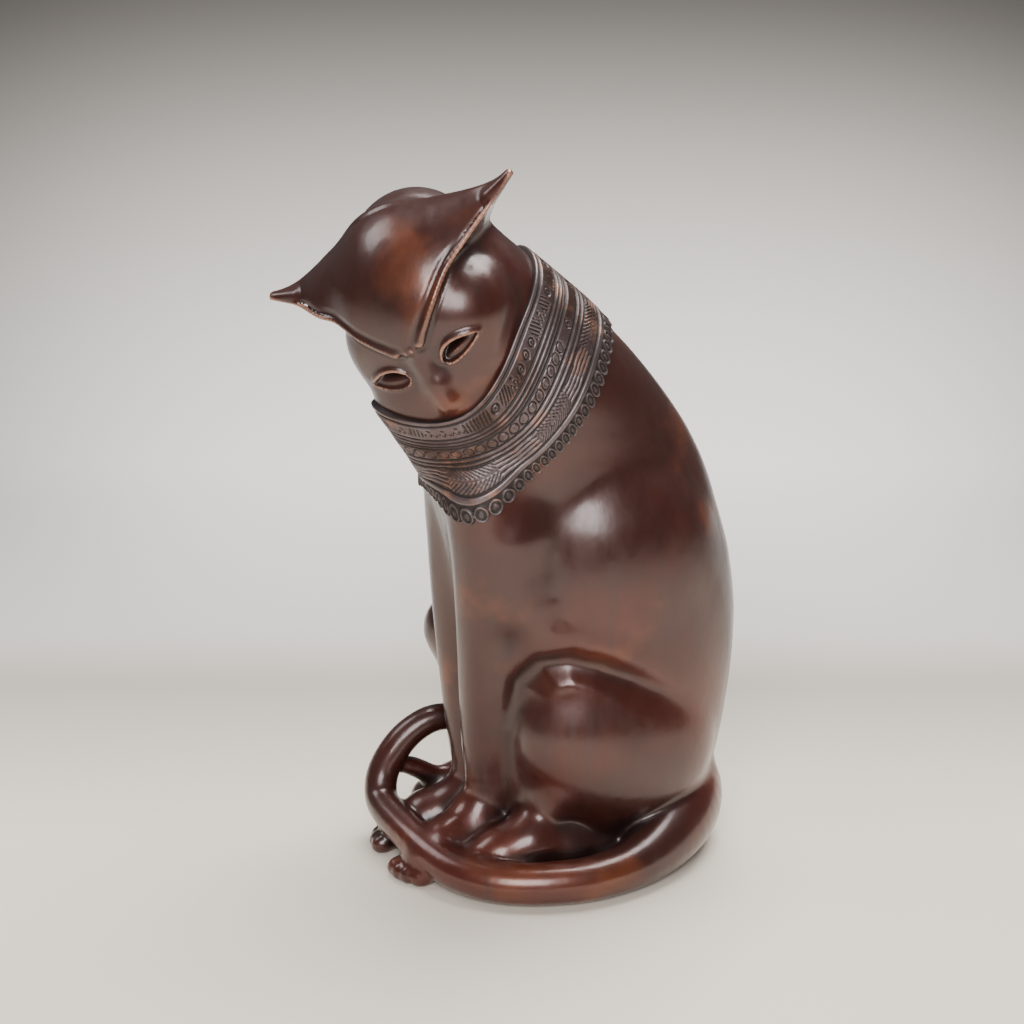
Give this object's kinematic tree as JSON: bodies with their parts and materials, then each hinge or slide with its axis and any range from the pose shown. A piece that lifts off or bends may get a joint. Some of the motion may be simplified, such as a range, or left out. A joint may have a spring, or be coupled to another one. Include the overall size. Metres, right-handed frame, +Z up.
{
  "type": "egyptian cat statue",
  "caption": "Seated cat in dark red-brown bronze, head bowed and turned to its left, wearing a broad banded collar, its tail wrapped round the feet into a small curl.",
  "frame": {"origin": "on the ground under the middle of the body, on the plane that halves the body", "axes": "+Z up, the cat faces -Y, its left side is +X"},
  "size_m": [0.1396, 0.2141, 0.3515],
  "materials": {
    "bronze": "dark red-brown patina, waxed to a soft shine, with worn copper edges and near-black hollows"
  },
  "bodies": {
    "root": {"cat": "bronze"}
  },
  "joints": []
}
